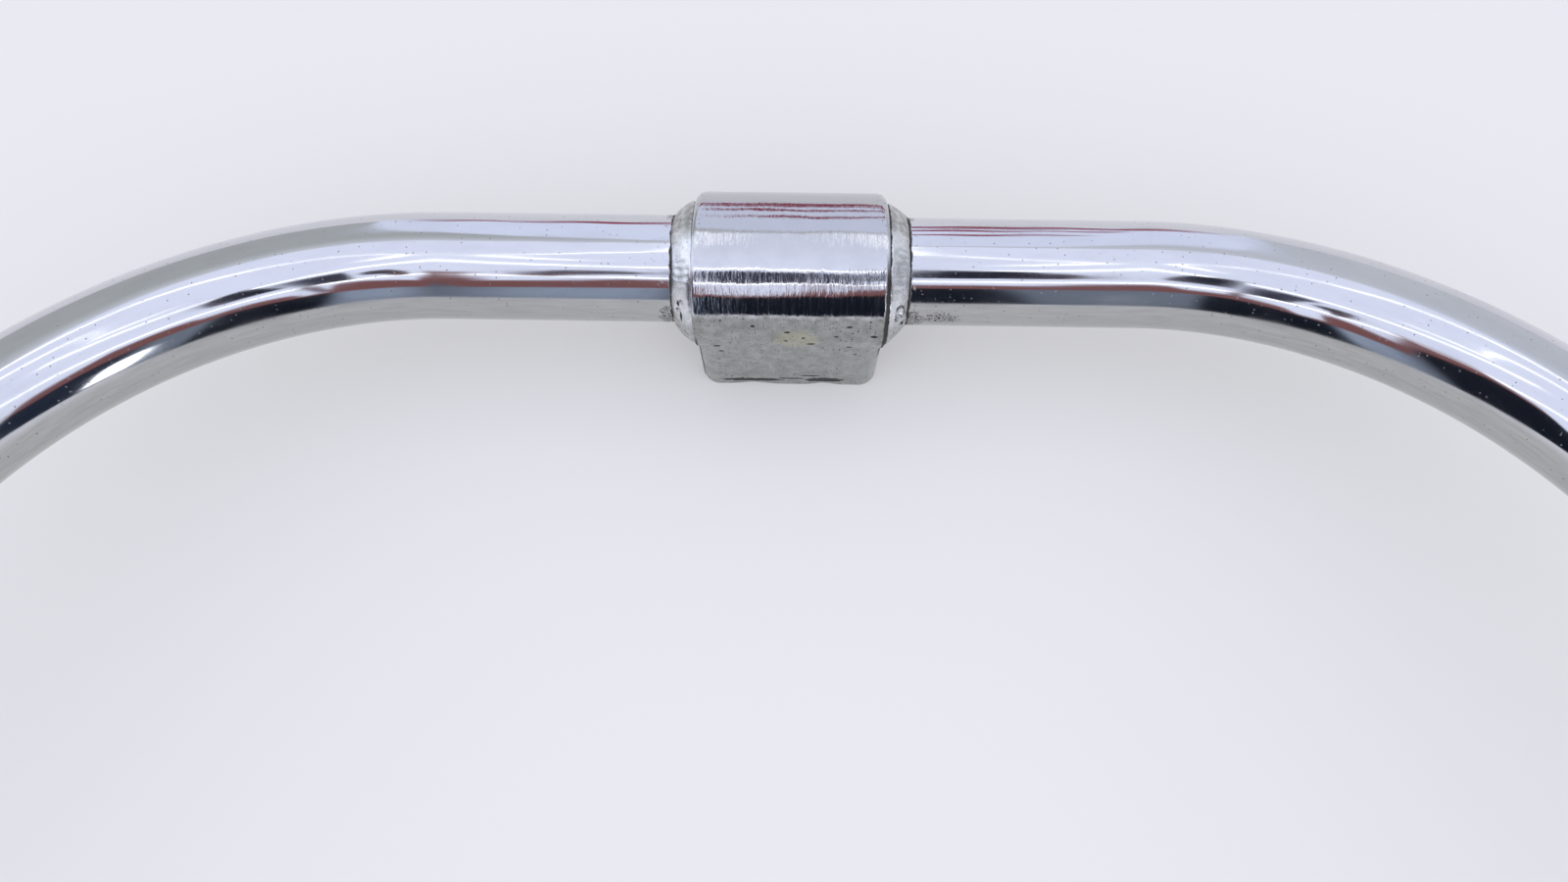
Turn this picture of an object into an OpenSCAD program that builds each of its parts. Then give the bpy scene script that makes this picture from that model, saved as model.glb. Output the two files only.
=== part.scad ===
// Welded motorcycle handlebar: two bent tubes run into a centre boss that bolts
// down on its flat foot. +Z is up out of the foot, +X is the rider's right,
// and the grips sweep back towards -Y. The origin is the centre of the foot face.

/* [Tube] */
// Outside diameter of the bar tube
tube_d = 25.4; // [22.2:0.1:28.6]
// Wall thickness of the bar tube
tube_wall = 2.4; // [2:0.1:3]
// Gap between the two tube ends inside the boss
butt_gap = 1; // [0.4:0.1:2]

/* [Bends] */
// Half length of the straight centre run, from the boss centre to the first bend
centre_run = 82; // [60:1:110]
// Centreline radius of the first bend
rise_bend_r = 108; // [90:1:130]
// Angle of the first bend
rise_bend_a = 74; // [68:1:80]
// Tilt of the first bend's plane above the foot face
rise_tilt = 25; // [20:1:32]
// Straight length between the two bends
riser_len = 30; // [15:1:50]
// Turn of the tube about its own line between the two bends
twist = 142; // [138:1:146]
// Centreline radius of the second bend
grip_bend_r = 100; // [85:1:115]
// Angle of the second bend
grip_bend_a = 58; // [54:1:62]

/* [Centre boss] */
// Diameter of the boss barrel around the tube
boss_d = 36.6; // [34:0.2:40]
// Length of the boss along the tube
boss_len = 45; // [42:0.5:56]
// Height of the tube's centreline above the foot face
axis_h = 33.6; // [31:0.1:38]
// Corner radius of the foot, seen from above
foot_corner_r = 4.5; // [2:0.5:8]
// Radial slip clearance of the tubes in the boss bore
slip = 0.05; // [0.02:0.01:0.1]

/* [Foot holes] */
// Distance between the two tapped holes
hole_spacing = 25; // [22:0.5:28]
// Tapping drill diameter of the holes
hole_d = 8.5; // [6.8:0.1:8.8]
// Depth of the holes
hole_depth = 16; // [12:0.5:17]
// Mouth diameter of the holes' countersink
hole_mouth_d = 11; // [10:0.5:12]

/* [Welds] */
// Leg of the fillet weld along the tube
weld_leg = 5.2; // [3:0.1:7]
// Height of the fillet weld's crown above a flat face
weld_crown = 0.5; // [0.2:0.1:1]
// Width of the bare rim left outside the weld on the boss end
boss_rim = 0.5; // [0.2:0.1:1.5]

/* [Inside pieces] */
// Length of the spigot that lines up the two tubes
spigot_len = 40; // [30:1:44]
// Wall thickness of the spigot
spigot_wall = 3; // [2:0.1:4]
// Length of the threaded bush in each tube end
bush_len = 18; // [12:1:24]
// How far the bush sits inside the tube's mouth
bush_recess = 2; // [1.5:0.5:4]
// Tapping drill diameter of the bush
bush_hole_d = 6.8; // [5:0.1:8.5]
// Leg of the seam weld that holds the bush
bush_weld_leg = 1.4; // [0.8:0.1:1.5]

/* [Hidden] */
$fn = 96;

tube_r = tube_d / 2;
tube_bore_r = tube_r - tube_wall;
boss_r = boss_d / 2;
weld_outer_r = boss_r - boss_rim;
overrun = 5;            // how far a cutter runs past a tube end
lap = 0.5;              // how far a straight run reaches into the bend beside it
bend_swell = 0.05;      // bends are this much fuller than the straights, so the laps stay inside
spigot_slip = 0.05;     // radial clearance of the spigot in the tubes
chrome = [0.80, 0.81, 0.84];
weld_grey = [0.70, 0.71, 0.73];
bare_steel = [0.52, 0.52, 0.54];

// Unit vectors of the bend plane: across the bar, and back and up out of it
across = [1, 0, 0];
back_up = [0, -cos(rise_tilt), sin(rise_tilt)];
side = cross(across, back_up);

// Direction of the tube after the first bend, and the way the second bend turns
riser_dir = cos(rise_bend_a) * across + sin(rise_bend_a) * back_up;
turn_in = cos(rise_bend_a) * back_up - sin(rise_bend_a) * across;
turn_dir = cos(twist) * turn_in + sin(twist) * side;

// Direction of the grip, and where its straight run begins
grip_dir = cos(grip_bend_a) * riser_dir + sin(grip_bend_a) * turn_dir;
grip_start = [centre_run, 0, axis_h]
    + rise_bend_r * (sin(rise_bend_a) * across + (1 - cos(rise_bend_a)) * back_up)
    + riser_len * riser_dir
    + grip_bend_r * (sin(grip_bend_a) * riser_dir + (1 - cos(grip_bend_a)) * turn_dir);

// The grip runs on until its end rim is level with the foot face
grip_droop = asin(-grip_dir[2]);
grip_len = (grip_start[2] - tube_r * cos(grip_droop)) / sin(grip_droop);

// Puts children on the tube's line where the right tube begins, local +Z along it
module at_bar_start() {
    translate([butt_gap / 2, 0, axis_h])
        rotate([-(90 + rise_tilt), 0, 0])
            rotate([0, 90, 0])
                children();
}

// Moves children to the far end of a bend that turns from local +Z towards local +X
module after_bend(r, a) {
    translate([r * (1 - cos(a)), 0, r * sin(a)])
        rotate([0, a, 0])
            children();
}

// Solid round bend of the given section radius
module bend(section_r, r, a) {
    translate([r, 0, 0])
        rotate([90, 0, 180])
            rotate_extrude(angle = a, $fn = 120)
                translate([r, 0])
                    circle(r = section_r + bend_swell, $fn = 48);
}

// Solid straight run that laps into whatever comes before and after it
module straight(section_r, len) {
    translate([0, 0, -lap])
        cylinder(h = len + 2 * lap, r = section_r, $fn = 48);
}

// Places children at the start of the grip's straight run
module at_grip_start() {
    at_bar_start()
        translate([0, 0, centre_run - butt_gap / 2])
            after_bend(rise_bend_r, rise_bend_a)
                translate([0, 0, riser_len])
                    rotate([0, 0, twist])
                        after_bend(grip_bend_r, grip_bend_a)
                            children();
}

// Places children at the right tube's open end, local +Z pointing out of it
module at_grip_end() {
    at_grip_start()
        translate([0, 0, grip_len])
            children();
}

// The whole right-hand run as one solid rod; extra lengthens both ends
module bar_rod(section_r, extra) {
    first_len = centre_run - butt_gap / 2;
    at_bar_start() {
        translate([0, 0, lap - extra])
            straight(section_r, first_len - lap + extra);
        translate([0, 0, first_len]) {
            bend(section_r, rise_bend_r, rise_bend_a);
            after_bend(rise_bend_r, rise_bend_a) {
                straight(section_r, riser_len);
                translate([0, 0, riser_len])
                    rotate([0, 0, twist])
                        bend(section_r, grip_bend_r, grip_bend_a);
            }
        }
    }
    at_grip_start()
        straight(section_r, grip_len - lap + extra);
}

// Bent tube, open at both ends
module bar_tube() {
    difference() {
        bar_rod(tube_r, 0);
        bar_rod(tube_bore_r, overrun);
    }
}

// Block footprint with rounded corners, drawn from true arcs
module foot_outline() {
    inset_x = boss_len / 2 - foot_corner_r;
    inset_y = boss_r - foot_corner_r;
    square([boss_len, 2 * inset_y], center = true);
    square([2 * inset_x, boss_d], center = true);
    for (x = [-inset_x, inset_x], y = [-inset_y, inset_y])
        translate([x, y])
            circle(r = foot_corner_r, $fn = 48);
}

// One tapped hole with its countersunk mouth, drilled up from the foot face
module foot_hole() {
    mouth_depth = (hole_mouth_d - hole_d) / 2;
    translate([0, 0, -overrun])
        cylinder(h = hole_depth + overrun, d = hole_d);
    translate([0, 0, -1])
        cylinder(h = 1 + mouth_depth, d1 = hole_mouth_d + 2, d2 = hole_d);
}

module centre_boss() {
    color(chrome)
        difference() {
            union() {
                translate([-boss_len / 2, 0, axis_h])
                    rotate([0, 90, 0])
                        cylinder(h = boss_len, d = boss_d);
                linear_extrude(height = axis_h)
                    foot_outline();
            }
            translate([-boss_len / 2 - overrun, 0, axis_h])
                rotate([0, 90, 0])
                    cylinder(h = boss_len + 2 * overrun, r = tube_r + slip);
            for (x = [-hole_spacing / 2, hole_spacing / 2])
                translate([x, 0, 0])
                    foot_hole();
        }
}

// Short length of tube that both bar tubes slide over
module centre_spigot() {
    spigot_r = tube_bore_r - spigot_slip;
    color(bare_steel)
        translate([-spigot_len / 2, 0, axis_h])
            rotate([0, 90, 0])
                difference() {
                    cylinder(h = spigot_len, r = spigot_r);
                    translate([0, 0, -overrun])
                        cylinder(h = spigot_len + 2 * overrun, r = spigot_r - spigot_wall);
                }
}

// Crowned fillet weld around the tube, against the boss end
module weld_bead() {
    mid_r = (tube_r + weld_outer_r) / 2;
    color(weld_grey)
        translate([boss_len / 2, 0, axis_h])
            rotate([0, 90, 0])
                rotate_extrude()
                    polygon([
                        [tube_r, 0],
                        [weld_outer_r, 0],
                        [weld_outer_r - 0.4, weld_crown + 0.4],
                        [mid_r + weld_crown, weld_leg / 2 + weld_crown],
                        [tube_r + 0.6, weld_leg - 0.2],
                        [tube_r, weld_leg]
                    ]);
}

// Threaded bush pushed into the tube end
module end_bush() {
    color(bare_steel)
        at_grip_end()
            translate([0, 0, -bush_recess - bush_len])
                difference() {
                    cylinder(h = bush_len, r = tube_bore_r);
                    translate([0, 0, -overrun])
                        cylinder(h = bush_len + 2 * overrun, d = bush_hole_d);
                }
}

// Seam weld in the corner between the bush and the tube's mouth
module end_weld() {
    color(weld_grey)
        at_grip_end()
            translate([0, 0, -bush_recess])
                rotate_extrude()
                    polygon([
                        [tube_bore_r - bush_weld_leg, 0],
                        [tube_bore_r, 0],
                        [tube_bore_r, bush_weld_leg],
                        [tube_bore_r - 0.45 * bush_weld_leg, 0.45 * bush_weld_leg]
                    ]);
}

// Draws the right-hand piece on the left side
module on_left() {
    mirror([1, 0, 0])
        children();
}

centre_boss();
centre_spigot();
on_left() color(chrome) bar_tube();  // left_bar_tube
color(chrome) bar_tube();  // right_bar_tube
on_left() weld_bead();  // left_weld_bead
weld_bead();  // right_weld_bead
on_left() end_bush();  // left_end_bush
end_bush();  // right_end_bush
on_left() end_weld();  // left_end_weld
end_weld();  // right_end_weld
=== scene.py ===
import math

import bmesh
import bpy
import numpy as np
from mathutils import Matrix, Quaternion, Vector, noise


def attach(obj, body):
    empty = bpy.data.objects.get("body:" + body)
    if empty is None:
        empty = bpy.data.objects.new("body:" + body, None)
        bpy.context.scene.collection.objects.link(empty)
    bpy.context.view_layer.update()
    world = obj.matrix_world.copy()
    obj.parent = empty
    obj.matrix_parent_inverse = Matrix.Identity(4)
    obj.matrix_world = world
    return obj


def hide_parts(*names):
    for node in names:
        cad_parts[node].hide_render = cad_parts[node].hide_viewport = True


# A chromed handlebar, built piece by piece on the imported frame. Lengths are in millimetres until
# a mesh or a light card is made. Only the floor and the camera are placed in metres.
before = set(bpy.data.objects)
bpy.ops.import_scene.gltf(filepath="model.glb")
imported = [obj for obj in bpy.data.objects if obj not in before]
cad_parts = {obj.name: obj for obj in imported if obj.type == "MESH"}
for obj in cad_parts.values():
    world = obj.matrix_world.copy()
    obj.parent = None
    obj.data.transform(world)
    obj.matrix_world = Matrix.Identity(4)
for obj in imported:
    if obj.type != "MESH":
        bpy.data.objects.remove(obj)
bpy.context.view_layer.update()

# ---------------------------------------------------------------------------
# Sizes in millimetres. Those down to END_WELD_LEG are the same as in the CAD source
# ---------------------------------------------------------------------------
TUBE_R = 12.7
BORE_R = 10.3
BUTT_GAP = 1.0
CENTRE_RUN = 82.0
RISE_BEND = (108.0, 74.0)      # centreline radius, angle
RISE_TILT = 25.0
RISER = 30.0
TWIST = 142.0
GRIP_BEND = (100.0, 58.0)
BOSS_R = 18.3
BOSS_HALF = 22.5
AXIS_H = 33.6
CORNER_R = 4.5
BOSS_BORE_R = 12.75
HOLE_X = 12.5
HOLE_R = 4.25
HOLE_DEPTH = 16.0
MOUTH_R = 5.5
WELD_LEG = 5.2
WELD_RIM_R = 17.8
BUSH_LEN = 18.0
BUSH_RECESS = 2.0
BUSH_HOLE_R = 3.4
END_WELD_LEG = 1.4
EDGE_R = 0.55                  # rounding of the boss ends at the crest
BACK_EDGE = 2.0                # and how much more of it there is at the back
FOOT_CHAMFER = 0.5
BOSS_PITCH = 1.5               # thread pitches
BUSH_PITCH = 1.25
WELD_MEAN_R = 15.2             # where lengths round a boss weld are measured
WELD_FACE = 7.2                # width of its sloping face
END_WELD_MEAN_R = 9.6
MM = 0.001
TURN = 2 * math.pi


# ---------------------------------------------------------------------------
# Mesh helpers
# ---------------------------------------------------------------------------
def add_object(name, data):
    """A new object in the scene, holding the given mesh or camera."""
    obj = bpy.data.objects.new(name, data)
    bpy.context.scene.collection.objects.link(obj)
    return obj


def grid_object(name, points, uv, wrap_rows=False, wrap_cols=True):
    """A mesh from a grid of points in mm, shape (rows, cols, 3), with UVs in mm.

    uv has one more row or column than points on each side that wraps round."""
    rows, cols = points.shape[:2]
    row_steps = rows if wrap_rows else rows - 1
    col_steps = cols if wrap_cols else cols - 1
    faces, corner_uv = [], []
    for i in range(row_steps):
        for j in range(col_steps):
            i2, j2 = (i + 1) % rows, (j + 1) % cols
            faces.append((i * cols + j, i * cols + j2, i2 * cols + j2, i2 * cols + j))
            corner_uv += [uv[i][j], uv[i][j + 1], uv[i + 1][j + 1], uv[i + 1][j]]
    mesh = bpy.data.meshes.new(name)
    mesh.from_pydata((points.reshape(-1, 3) * MM).tolist(), [], faces)
    layer = mesh.uv_layers.new(name="UVMap")
    layer.data.foreach_set("uv", np.array(corner_uv, np.float32).ravel())
    return add_object(name, mesh)


def finish_mesh(obj, sharp_deg=32.0):
    """Outward normals, smooth shading, and hard edges where the surface really turns."""
    bm = bmesh.new()
    bm.from_mesh(obj.data)
    bmesh.ops.remove_doubles(bm, verts=bm.verts, dist=1e-7)
    bmesh.ops.recalc_face_normals(bm, faces=bm.faces)
    if bm.calc_volume(signed=True) < 0:
        bmesh.ops.reverse_faces(bm, faces=bm.faces)
    for face in bm.faces:
        face.smooth = True
    for edge in bm.edges:
        if len(edge.link_faces) == 2:
            edge.smooth = edge.calc_face_angle() < math.radians(sharp_deg)
    bm.to_mesh(obj.data)
    bm.free()
    return obj


def close_ends(obj):
    """Fills the two open ends of a lofted cutter, so that it is a closed solid."""
    bm = bmesh.new()
    bm.from_mesh(obj.data)
    bmesh.ops.holes_fill(bm, edges=[e for e in bm.edges if e.is_boundary], sides=0)
    bmesh.ops.recalc_face_normals(bm, faces=bm.faces)
    bm.to_mesh(obj.data)
    bm.free()
    return obj


def no_uv(rows, cols):
    """Blank UVs for a cutter of that many rows and columns."""
    return [[(0.0, 0.0)] * (cols + 1)] * (rows + 1)


def cut(obj, cutter):
    """Takes the closed mesh cutter away from obj."""
    mod = obj.modifiers.new("cut", "BOOLEAN")
    mod.operation, mod.solver, mod.object = "DIFFERENCE", "EXACT", cutter
    graph = bpy.context.evaluated_depsgraph_get()
    made = bpy.data.meshes.new_from_object(obj.evaluated_get(graph))
    obj.modifiers.clear()
    obj.data = made
    bpy.data.objects.remove(cutter)


def wobble(p, size, seed):
    """Smooth noise from -1 to 1 at a point in mm, with features about size mm across."""
    return noise.noise(Vector((p[0] / size + seed, p[1] / size - seed, p[2] / size + 7.1 * seed)))


def smooth_step(a, b, x):
    """0 at a and before it, 1 at b and past it, and a smooth rise between. a may be above b."""
    t = min(1.0, max(0.0, (x - a) / (b - a)))
    return t * t * (3 - 2 * t)


def tooth(along, turns, pitch):
    """Height from 0 to 1 of a V thread, at a distance along it and a share of a turn round it."""
    phase = (along / pitch - turns) % 1.0
    return max(0.0, 1 - abs(phase - 0.5) * 2.6)


# ---------------------------------------------------------------------------
# The bar's line: a list of stations, each a centre, a direction and two sides
# ---------------------------------------------------------------------------
def straight_run(start, length, step):
    """Stations every step mm or so along a straight that follows the station start."""
    p, t, a, b = start
    count = max(1, round(length / step))
    return [(p + t * (length * i / count), t, a, b) for i in range(1, count + 1)]


def bend_run(start, radius, angle, roll, step_deg):
    """Stations along a bend. roll turns its plane round the line, from the first side to the second."""
    p, t, a, b = start
    towards = a * math.cos(roll) + b * math.sin(roll)
    centre, axis = p + towards * radius, t.cross(towards)
    count = max(1, round(math.degrees(angle) / step_deg))
    out = []
    for i in range(1, count + 1):
        q = Quaternion(axis, angle * i / count)
        out.append((centre + q @ (p - centre), q @ t, q @ a, q @ b))
    return out


def bar_line(side):
    """One half of the bar, from the butt in the boss to the tip, which rests on the floor."""
    tilt = math.radians(RISE_TILT)
    back_up = Vector((0, -math.cos(tilt), math.sin(tilt)))
    across = Vector((1, 0, 0))
    start = (Vector((BUTT_GAP / 2, 0, AXIS_H)), across, back_up, across.cross(back_up))
    line = [start]
    line += straight_run(line[-1], CENTRE_RUN - BUTT_GAP / 2, 5.0)
    line += bend_run(line[-1], RISE_BEND[0], math.radians(RISE_BEND[1]), 0.0, 1.25)
    line += straight_run(line[-1], RISER, 5.0)
    line += bend_run(line[-1], GRIP_BEND[0], math.radians(GRIP_BEND[1]), math.radians(TWIST), 1.5)
    p, t = line[-1][:2]
    droop = math.asin(-t.z)
    grip = (p.z - TUBE_R * math.cos(droop)) / math.sin(droop)
    line += straight_run(line[-1], grip, 6.0)
    if side < 0:
        flip = Matrix.Diagonal((-1, 1, 1))
        line = [tuple(flip @ v for v in station) for station in line]
    return line


def ring(station, radius, cols, back=0.0):
    """One ring of points round a station, moved back along the line by back mm."""
    p, t, a, b = station
    pts = []
    for j in range(cols):
        w = TURN * j / cols
        pts.append(p - t * back + a * (radius * math.cos(w)) + b * (radius * math.sin(w)))
    return [list(q) for q in pts]


def bar_tube(name, side):
    """The bent tube: outside wall, rounded mouth, inside wall, as one closed skin."""
    cols, line = 112, bar_line(side)
    travel = [0.0]
    for before, here in zip(line, line[1:]):
        travel.append(travel[-1] + (here[0] - before[0]).length)
    rings, along = [], []
    for s, station in zip(travel[:-1], line[:-1]):
        rings.append(ring(station, TUBE_R, cols))
        along.append(s)
    # The rounded mouth, as distance back from the tip and radius
    mouth = [(0.45, TUBE_R), (0.2, TUBE_R - 0.07), (0.07, TUBE_R - 0.2), (0.0, TUBE_R - 0.45),
             (0.0, BORE_R + 0.3), (0.12, BORE_R + 0.08), (0.4, BORE_R)]
    for back, radius in mouth:
        rings.append(ring(line[-1], radius, cols, back))
        along.append(travel[-1] + TUBE_R - radius)
    for s, station in zip(travel[-2::-1], line[-2::-1]):
        rings.append(ring(station, BORE_R, cols))
        along.append(travel[-1] + 5.0 + travel[-1] - s)
    along.append(along[-1] + TUBE_R - BORE_R)
    around = [TUBE_R * TURN * j / cols for j in range(cols + 1)]
    uv = [[(s + BUTT_GAP / 2, w) for w in around] for s in along]
    return finish_mesh(grid_object(name, np.array(rings), uv, wrap_rows=True)), line


# ---------------------------------------------------------------------------
# Centre boss
# ---------------------------------------------------------------------------
def tap_cutter(x):
    """A tapped hole with its countersunk mouth, as the closed solid that gets cut away."""
    deep, cols = 0.75, 48
    rows = []
    for z in np.arange(-1.0, HOLE_DEPTH + 0.001, BOSS_PITCH / 8):
        fade = smooth_step(HOLE_DEPTH - 0.5, HOLE_DEPTH - 2.5, z)
        pts = []
        for j in range(cols):
            w = TURN * j / cols
            thread = HOLE_R + deep * tooth(z, j / cols, BOSS_PITCH) * fade
            r = max(thread, MOUTH_R - z)
            pts.append([x + r * math.cos(w), r * math.sin(w), z])
        rows.append(pts)
    tip_z, tip_r = HOLE_DEPTH + 2.0, 0.4
    rows.append([[x + tip_r * math.cos(TURN * j / cols), tip_r * math.sin(TURN * j / cols), tip_z]
                 for j in range(cols)])
    return close_ends(grid_object("tap", np.array(rows), no_uv(len(rows), cols)))


def bore_cutter():
    """The hole for the tubes, run a little past both ends of the boss."""
    cols, past = 96, 4
    rows = []
    for x in np.linspace(-BOSS_HALF - past, BOSS_HALF + past, 3):
        rows.append([[x, BOSS_BORE_R * math.cos(w), AXIS_H + BOSS_BORE_R * math.sin(w)]
                     for w in np.linspace(0, TURN, cols, endpoint=False)])
    return close_ends(grid_object("bore", np.array(rows), no_uv(len(rows), cols)))


def boss_stations():
    """Stations along X: x, half width of the block, its outline's normal (x, y), barrel radius."""
    flat = BOSS_HALF - CORNER_R
    half = [(x, BOSS_R, 0.0, 1.0, BOSS_R) for x in np.linspace(0, flat, 13)[:-1]]
    turns = list(np.linspace(0, 90, 13))
    turns += [np.degrees(np.arcsin((BOSS_HALF - share * EDGE_R - flat) / CORNER_R))
              for share in (1, 0.75, 0.3)]
    for turn in sorted(turns):
        s, c = math.sin(math.radians(turn)), math.cos(math.radians(turn))
        x = flat + CORNER_R * s
        over = max(0.0, x - (BOSS_HALF - EDGE_R))
        barrel = BOSS_R - EDGE_R + math.sqrt(max(0.0, EDGE_R ** 2 - over ** 2))
        half.append((x, BOSS_R - CORNER_R + CORNER_R * c, s, c, barrel))
    return [(-x, w, -nx, ny, r) for x, w, nx, ny, r in half[:0:-1]] + half


def boss_grid():
    """Points and UVs of the boss: at each station, up one flank, over the barrel and down the other."""
    flank_rows, arc_rows = 12, 96
    rows, uvs = [], []
    for x, w, nx, ny, r in boss_stations():
        w = min(w, r)
        drop = math.sqrt(max(0.0, r * r - w * w))
        meet = AXIS_H - drop
        side = [(x - nx * FOOT_CHAMFER, w - ny * FOOT_CHAMFER, 0.0),
                (x - nx * 0.15, w - ny * 0.15, FOOT_CHAMFER * 0.45)]
        for k in range(flank_rows + 1):
            side.append((x, w, FOOT_CHAMFER + (meet - FOOT_CHAMFER) * k / flank_rows))
        start = math.atan2(-drop, w)
        arc = []
        for k in range(1, arc_rows):
            a = start + (math.pi - 2 * start) * k / arc_rows
            arc.append((x, r * math.cos(a), AXIS_H + r * math.sin(a)))
        loop = side + arc + [(p[0], -p[1], p[2]) for p in side[::-1]]
        rows.append(loop)
        reach, total = [0.0], 0.0
        for p, q in zip(loop, loop[1:]):
            total += math.dist(p, q)
            reach.append(total)
        uvs.append([(x, total / 2 - v) for v in reach])
    return np.array(rows), uvs


def rounded_off(over, radius):
    """How far a rounded edge has dropped where the surface runs over mm into the rounding."""
    return radius - math.sqrt(max(0.0, radius ** 2 - over ** 2))


def dress_by_hand(points):
    """Ends dressed off towards the back, faces never quite true, and two worn scallops at the foot."""
    barrel_foot = AXIS_H - 6.0
    scallops = ((-9.3, 6.5, 0.45), (8.9, 4.6, 0.5))      # place along X, width, depth
    for i in range(points.shape[0]):
        for j in range(points.shape[1]):
            p = points[i, j]
            out = Vector((0, p[1], max(0.0, p[2] - AXIS_H))).normalized()
            worn = EDGE_R + BACK_EDGE * smooth_step(-0.1, 0.9, out.y)
            over = abs(p[0]) - (BOSS_HALF - worn)
            if over > 0 and p[2] > barrel_foot:
                first = max(0.0, abs(p[0]) - (BOSS_HALF - EDGE_R))
                gone = rounded_off(over, worn) - rounded_off(first, EDGE_R)
                points[i, j] -= np.array(out) * max(0.0, gone) * smooth_step(barrel_foot, AXIS_H, p[2])
            inside = smooth_step(BOSS_HALF, BOSS_HALF - 2.5, abs(p[0]))
            off = inside * smooth_step(0.3, 4.0, p[2]) * 0.035 * wobble(p, 9.0, 3.0)
            points[i, j] += np.array(out) * off
            if p[1] < -BOSS_R + 2.0 and p[2] < 4.0:
                for at, wide, deep in scallops:
                    bite = math.exp(-((p[0] - at) / wide * 1.7) ** 2) * deep
                    points[i, j][1] += bite * smooth_step(3.2, 0.6, p[2])


def close_boss(obj, count, cols):
    """Adds the foot and the two end faces to the lofted skin, with flat UVs of their own."""
    aside = 100                # keeps these faces' pattern clear of the skin's
    bm = bmesh.new()
    bm.from_mesh(obj.data)
    bm.verts.ensure_lookup_table()
    layer = bm.loops.layers.uv.active
    bottom = [bm.verts[i * cols] for i in range(count)]
    bottom += [bm.verts[i * cols + cols - 1] for i in range(count - 1, -1, -1)]
    bm.faces.new(bottom)
    for first in (0, (count - 1) * cols):
        bm.faces.new([bm.verts[first + j] for j in range(cols)])
    bmesh.ops.recalc_face_normals(bm, faces=bm.faces)
    for face in bm.faces:
        if len(face.verts) > 4:
            is_foot = abs(face.normal.z) > 0.5
            for corner in face.loops:
                co = corner.vert.co / MM
                corner[layer].uv = (co.x, aside + co.y) if is_foot else (aside + co.y, co.z)
    bm.to_mesh(obj.data)
    bm.free()


def centre_boss():
    """Round barrel on a block with rounded corners, lofted along X so that the two blend exactly."""
    points, uvs = boss_grid()
    dress_by_hand(points)
    obj = grid_object("boss", points, uvs, wrap_cols=False)
    close_boss(obj, *points.shape[:2])
    cut(obj, bore_cutter())
    for x in (-HOLE_X, HOLE_X):
        cut(obj, tap_cutter(x))
    return finish_mesh(obj, 28.0)


# ---------------------------------------------------------------------------
# Weld beads: a crowned fillet with ripples, dressed by hand, with its own faults
# ---------------------------------------------------------------------------
def weld_bead(name, side, crown, faults):
    """A bead round the tube at one end of the boss. crown is how far its face bulges, in mm."""
    cols, steps = 288, 34
    toe_r = TUBE_R
    columns = []
    for j in range(cols):
        w = TURN * j / cols                # 0 is up, a quarter turn is towards the rider
        sin_w, cos_w = math.sin(w), math.cos(w)
        seed = (40 * side, 14 * sin_w, 14 * cos_w)
        leg = WELD_LEG - 0.15 + 0.30 * wobble(seed, 6.0, 1.0) + 0.12 * wobble(seed, 2.0, 2.0)
        leg = min(leg, WELD_LEG + 0.25)
        top = WELD_RIM_R + 0.12 * wobble(seed, 7.0, 3.0)
        top -= (BACK_EDGE - 0.3) * smooth_step(-0.1, 0.9, -sin_w) * smooth_step(-0.45, 0.0, cos_w)
        slope = Vector((top - toe_r, leg)).normalized()
        profile = []
        for k in range(steps + 1):
            t = k / steps                  # 0 at the boss, 1 at the tube
            s, r = leg * t, top + (toe_r - top) * t
            at = (side * (BOSS_HALF + s), r * sin_w, r * cos_w)
            body = 1 - abs(2 * t - 1) ** 3.2
            lift = body * (crown + 0.20 * wobble(at, 5.5, 4.0) + 0.07 * wobble(at, 1.7, 5.0))
            ripple = math.sin(w * WELD_MEAN_R / 0.27 + 5.0 * (t - 0.5) ** 2 + 1.5 * wobble(at, 4.0, 6.0))
            lift += body * 0.045 * ripple * smooth_step(-0.15, 0.35, wobble(at, 7.0, 7.0))
            lift += body * 0.018 * wobble(at, 0.6, 8.0)
            undercut = 0.30 * math.exp(-((t - 0.03) / 0.035) ** 2)
            lift -= undercut * (0.6 + 0.6 * wobble(at, 5.0, 9.0))
            for turn, where, size, deep, rimmed in faults:
                round_it = (w - math.radians(turn)) * WELD_MEAN_R
                d = math.hypot(round_it, (t - where) * WELD_FACE) / size
                if d < 3:
                    lift -= deep * math.exp(-(d * 1.5) ** 2)
                    lift += rimmed * math.exp(-((d - 1.0) / 0.28) ** 2)
            profile.append((s + slope.x * lift, max(r + slope.y * lift, toe_r)))
        profile[0], profile[-1] = (0.0, top), (leg, toe_r)
        profile.append((0.0, toe_r))
        columns.append([(side * (BOSS_HALF + s), -r * sin_w, AXIS_H + r * cos_w) for s, r in profile])
    points = np.array(columns).transpose(1, 0, 2)
    around = [WELD_MEAN_R * TURN * j / cols for j in range(cols + 1)]
    uv = [[(min(1.0, k / steps) * WELD_FACE, v) for v in around] for k in range(len(columns[0]) + 1)]
    return finish_mesh(grid_object(name, points, uv, wrap_rows=True), 60.0)


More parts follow.
